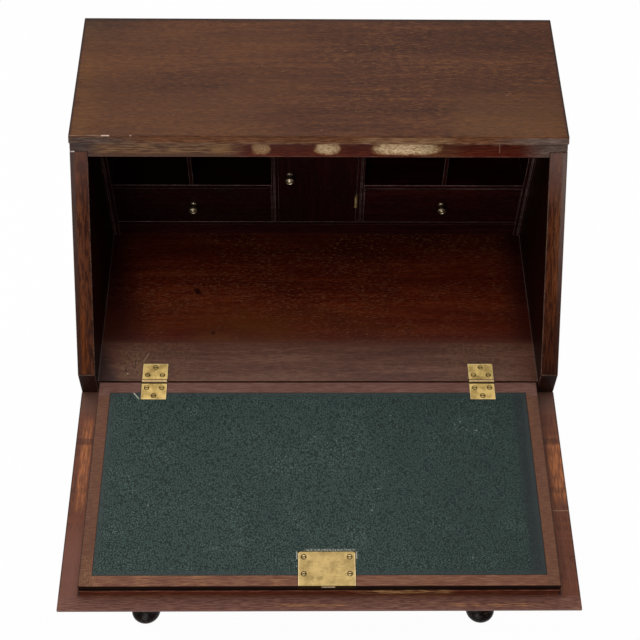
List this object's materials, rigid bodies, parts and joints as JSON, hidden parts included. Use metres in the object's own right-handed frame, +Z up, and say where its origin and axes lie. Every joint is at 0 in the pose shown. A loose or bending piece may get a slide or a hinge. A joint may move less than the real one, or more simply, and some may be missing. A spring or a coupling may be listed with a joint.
{
  "type": "secretaire",
  "caption": "Slope-front writing secretaire with a leather-lined fall on lopers, a fitted gallery of pigeonholes and drawers, long drawers and cabriole legs.",
  "frame": {"origin": "on the floor, in the middle of the box that the open secretaire fills, midway between its sides", "axes": "+X to the right of someone who sits at it, +Y from the sitter to the back, +Z up"},
  "size_m": [0.6358, 0.7076, 1.0048],
  "materials": {
    "mahogany": "satin",
    "dark_mahogany": "satin",
    "drawer_lining": "matt",
    "brass": "aged",
    "leather": "satin"
  },
  "bodies": {
    "case": {"top_board": "mahogany", "left_side": "mahogany", "right_side": "mahogany", "back_panel": "dark_mahogany", "bed_rail": "mahogany", "bed_panel": "dark_mahogany", "drawer_rails": "mahogany", "bottom_board": "dark_mahogany", "loper_partitions": "dark_mahogany", "drawer_runners": "drawer_lining", "base_moulding": "mahogany", "leg_front_left": "dark_mahogany", "leg_front_right": "dark_mahogany", "leg_back_left": "dark_mahogany", "leg_back_right": "dark_mahogany", "bed_hinge_leaves": "brass", "fall_hinge_pins": "brass", "bed_hinge_screws": "brass", "gallery_floor": "mahogany", "gallery_plinth": "dark_mahogany", "gallery_ends": "dark_mahogany", "gallery_partitions": "mahogany", "gallery_shelves": "mahogany", "gallery_dividers": "mahogany", "gallery_top": "dark_mahogany", "gallery_back": "dark_mahogany", "door_hinge_plates": "brass"},
    "fall": {"fall_board": "mahogany", "leather_panel": "leather", "fall_hinge_leaves": "brass", "fall_hinge_screws": "brass", "fall_lock": "brass", "lock_screws": "brass", "keyhole_liner": "brass"},
    "bolt": {"lock_bolt": "brass"},
    "left_loper": {"loper_left": "mahogany", "loper_knob_left": "brass"},
    "right_loper": {"loper_right": "mahogany", "loper_knob_right": "brass"},
    "top_drawer": {"top_drawer_front": "mahogany", "top_drawer_box": "drawer_lining", "top_drawer_bottom": "drawer_lining", "top_drawer_knobs": "brass"},
    "middle_drawer": {"middle_drawer_front": "mahogany", "middle_drawer_box": "drawer_lining", "middle_drawer_bottom": "drawer_lining", "middle_drawer_knobs": "brass"},
    "bottom_drawer": {"bottom_drawer_front": "mahogany", "bottom_drawer_box": "drawer_lining", "bottom_drawer_bottom": "drawer_lining", "bottom_drawer_knobs": "brass"},
    "left_small_drawer": {"left_small_drawer_front": "mahogany", "left_small_drawer_tray": "drawer_lining", "left_small_drawer_knob": "brass"},
    "right_small_drawer": {"right_small_drawer_front": "mahogany", "right_small_drawer_tray": "drawer_lining", "right_small_drawer_knob": "brass"},
    "door": {"cupboard_door": "mahogany", "door_hinge_leaves": "brass", "cupboard_knob": "brass"}
  },
  "joints": [
    {"name": "fall_hinge", "type": "hinge", "parent": "case", "child": "fall", "pos_m": [0, -0.04975, 0.755], "axis": [1, 0, 0], "range_deg": [-132, 0]},
    {"name": "bolt_slide", "type": "slide", "parent": "fall", "child": "bolt", "axis": [0, -1, 0], "range_m": [0, 0.009]},
    {"name": "left_loper_slide", "type": "slide", "parent": "case", "child": "left_loper", "axis": [0, -1, 0], "range_m": [-0.24, 0]},
    {"name": "right_loper_slide", "type": "slide", "parent": "case", "child": "right_loper", "axis": [0, -1, 0], "range_m": [-0.24, 0]},
    {"name": "top_drawer_slide", "type": "slide", "parent": "case", "child": "top_drawer", "axis": [0, -1, 0], "range_m": [0, 0.25]},
    {"name": "middle_drawer_slide", "type": "slide", "parent": "case", "child": "middle_drawer", "axis": [0, -1, 0], "range_m": [0, 0.28]},
    {"name": "bottom_drawer_slide", "type": "slide", "parent": "case", "child": "bottom_drawer", "axis": [0, -1, 0], "range_m": [0, 0.28]},
    {"name": "left_small_drawer_slide", "type": "slide", "parent": "case", "child": "left_small_drawer", "axis": [0, -1, 0], "range_m": [0, 0.1]},
    {"name": "right_small_drawer_slide", "type": "slide", "parent": "case", "child": "right_small_drawer", "axis": [0, -1, 0], "range_m": [0, 0.1]},
    {"name": "door_hinge", "type": "hinge", "parent": "case", "child": "door", "pos_m": [0.0516, 0.19005, 0.875], "axis": [0, 0, 1], "range_deg": [0, 95]}
  ]
}
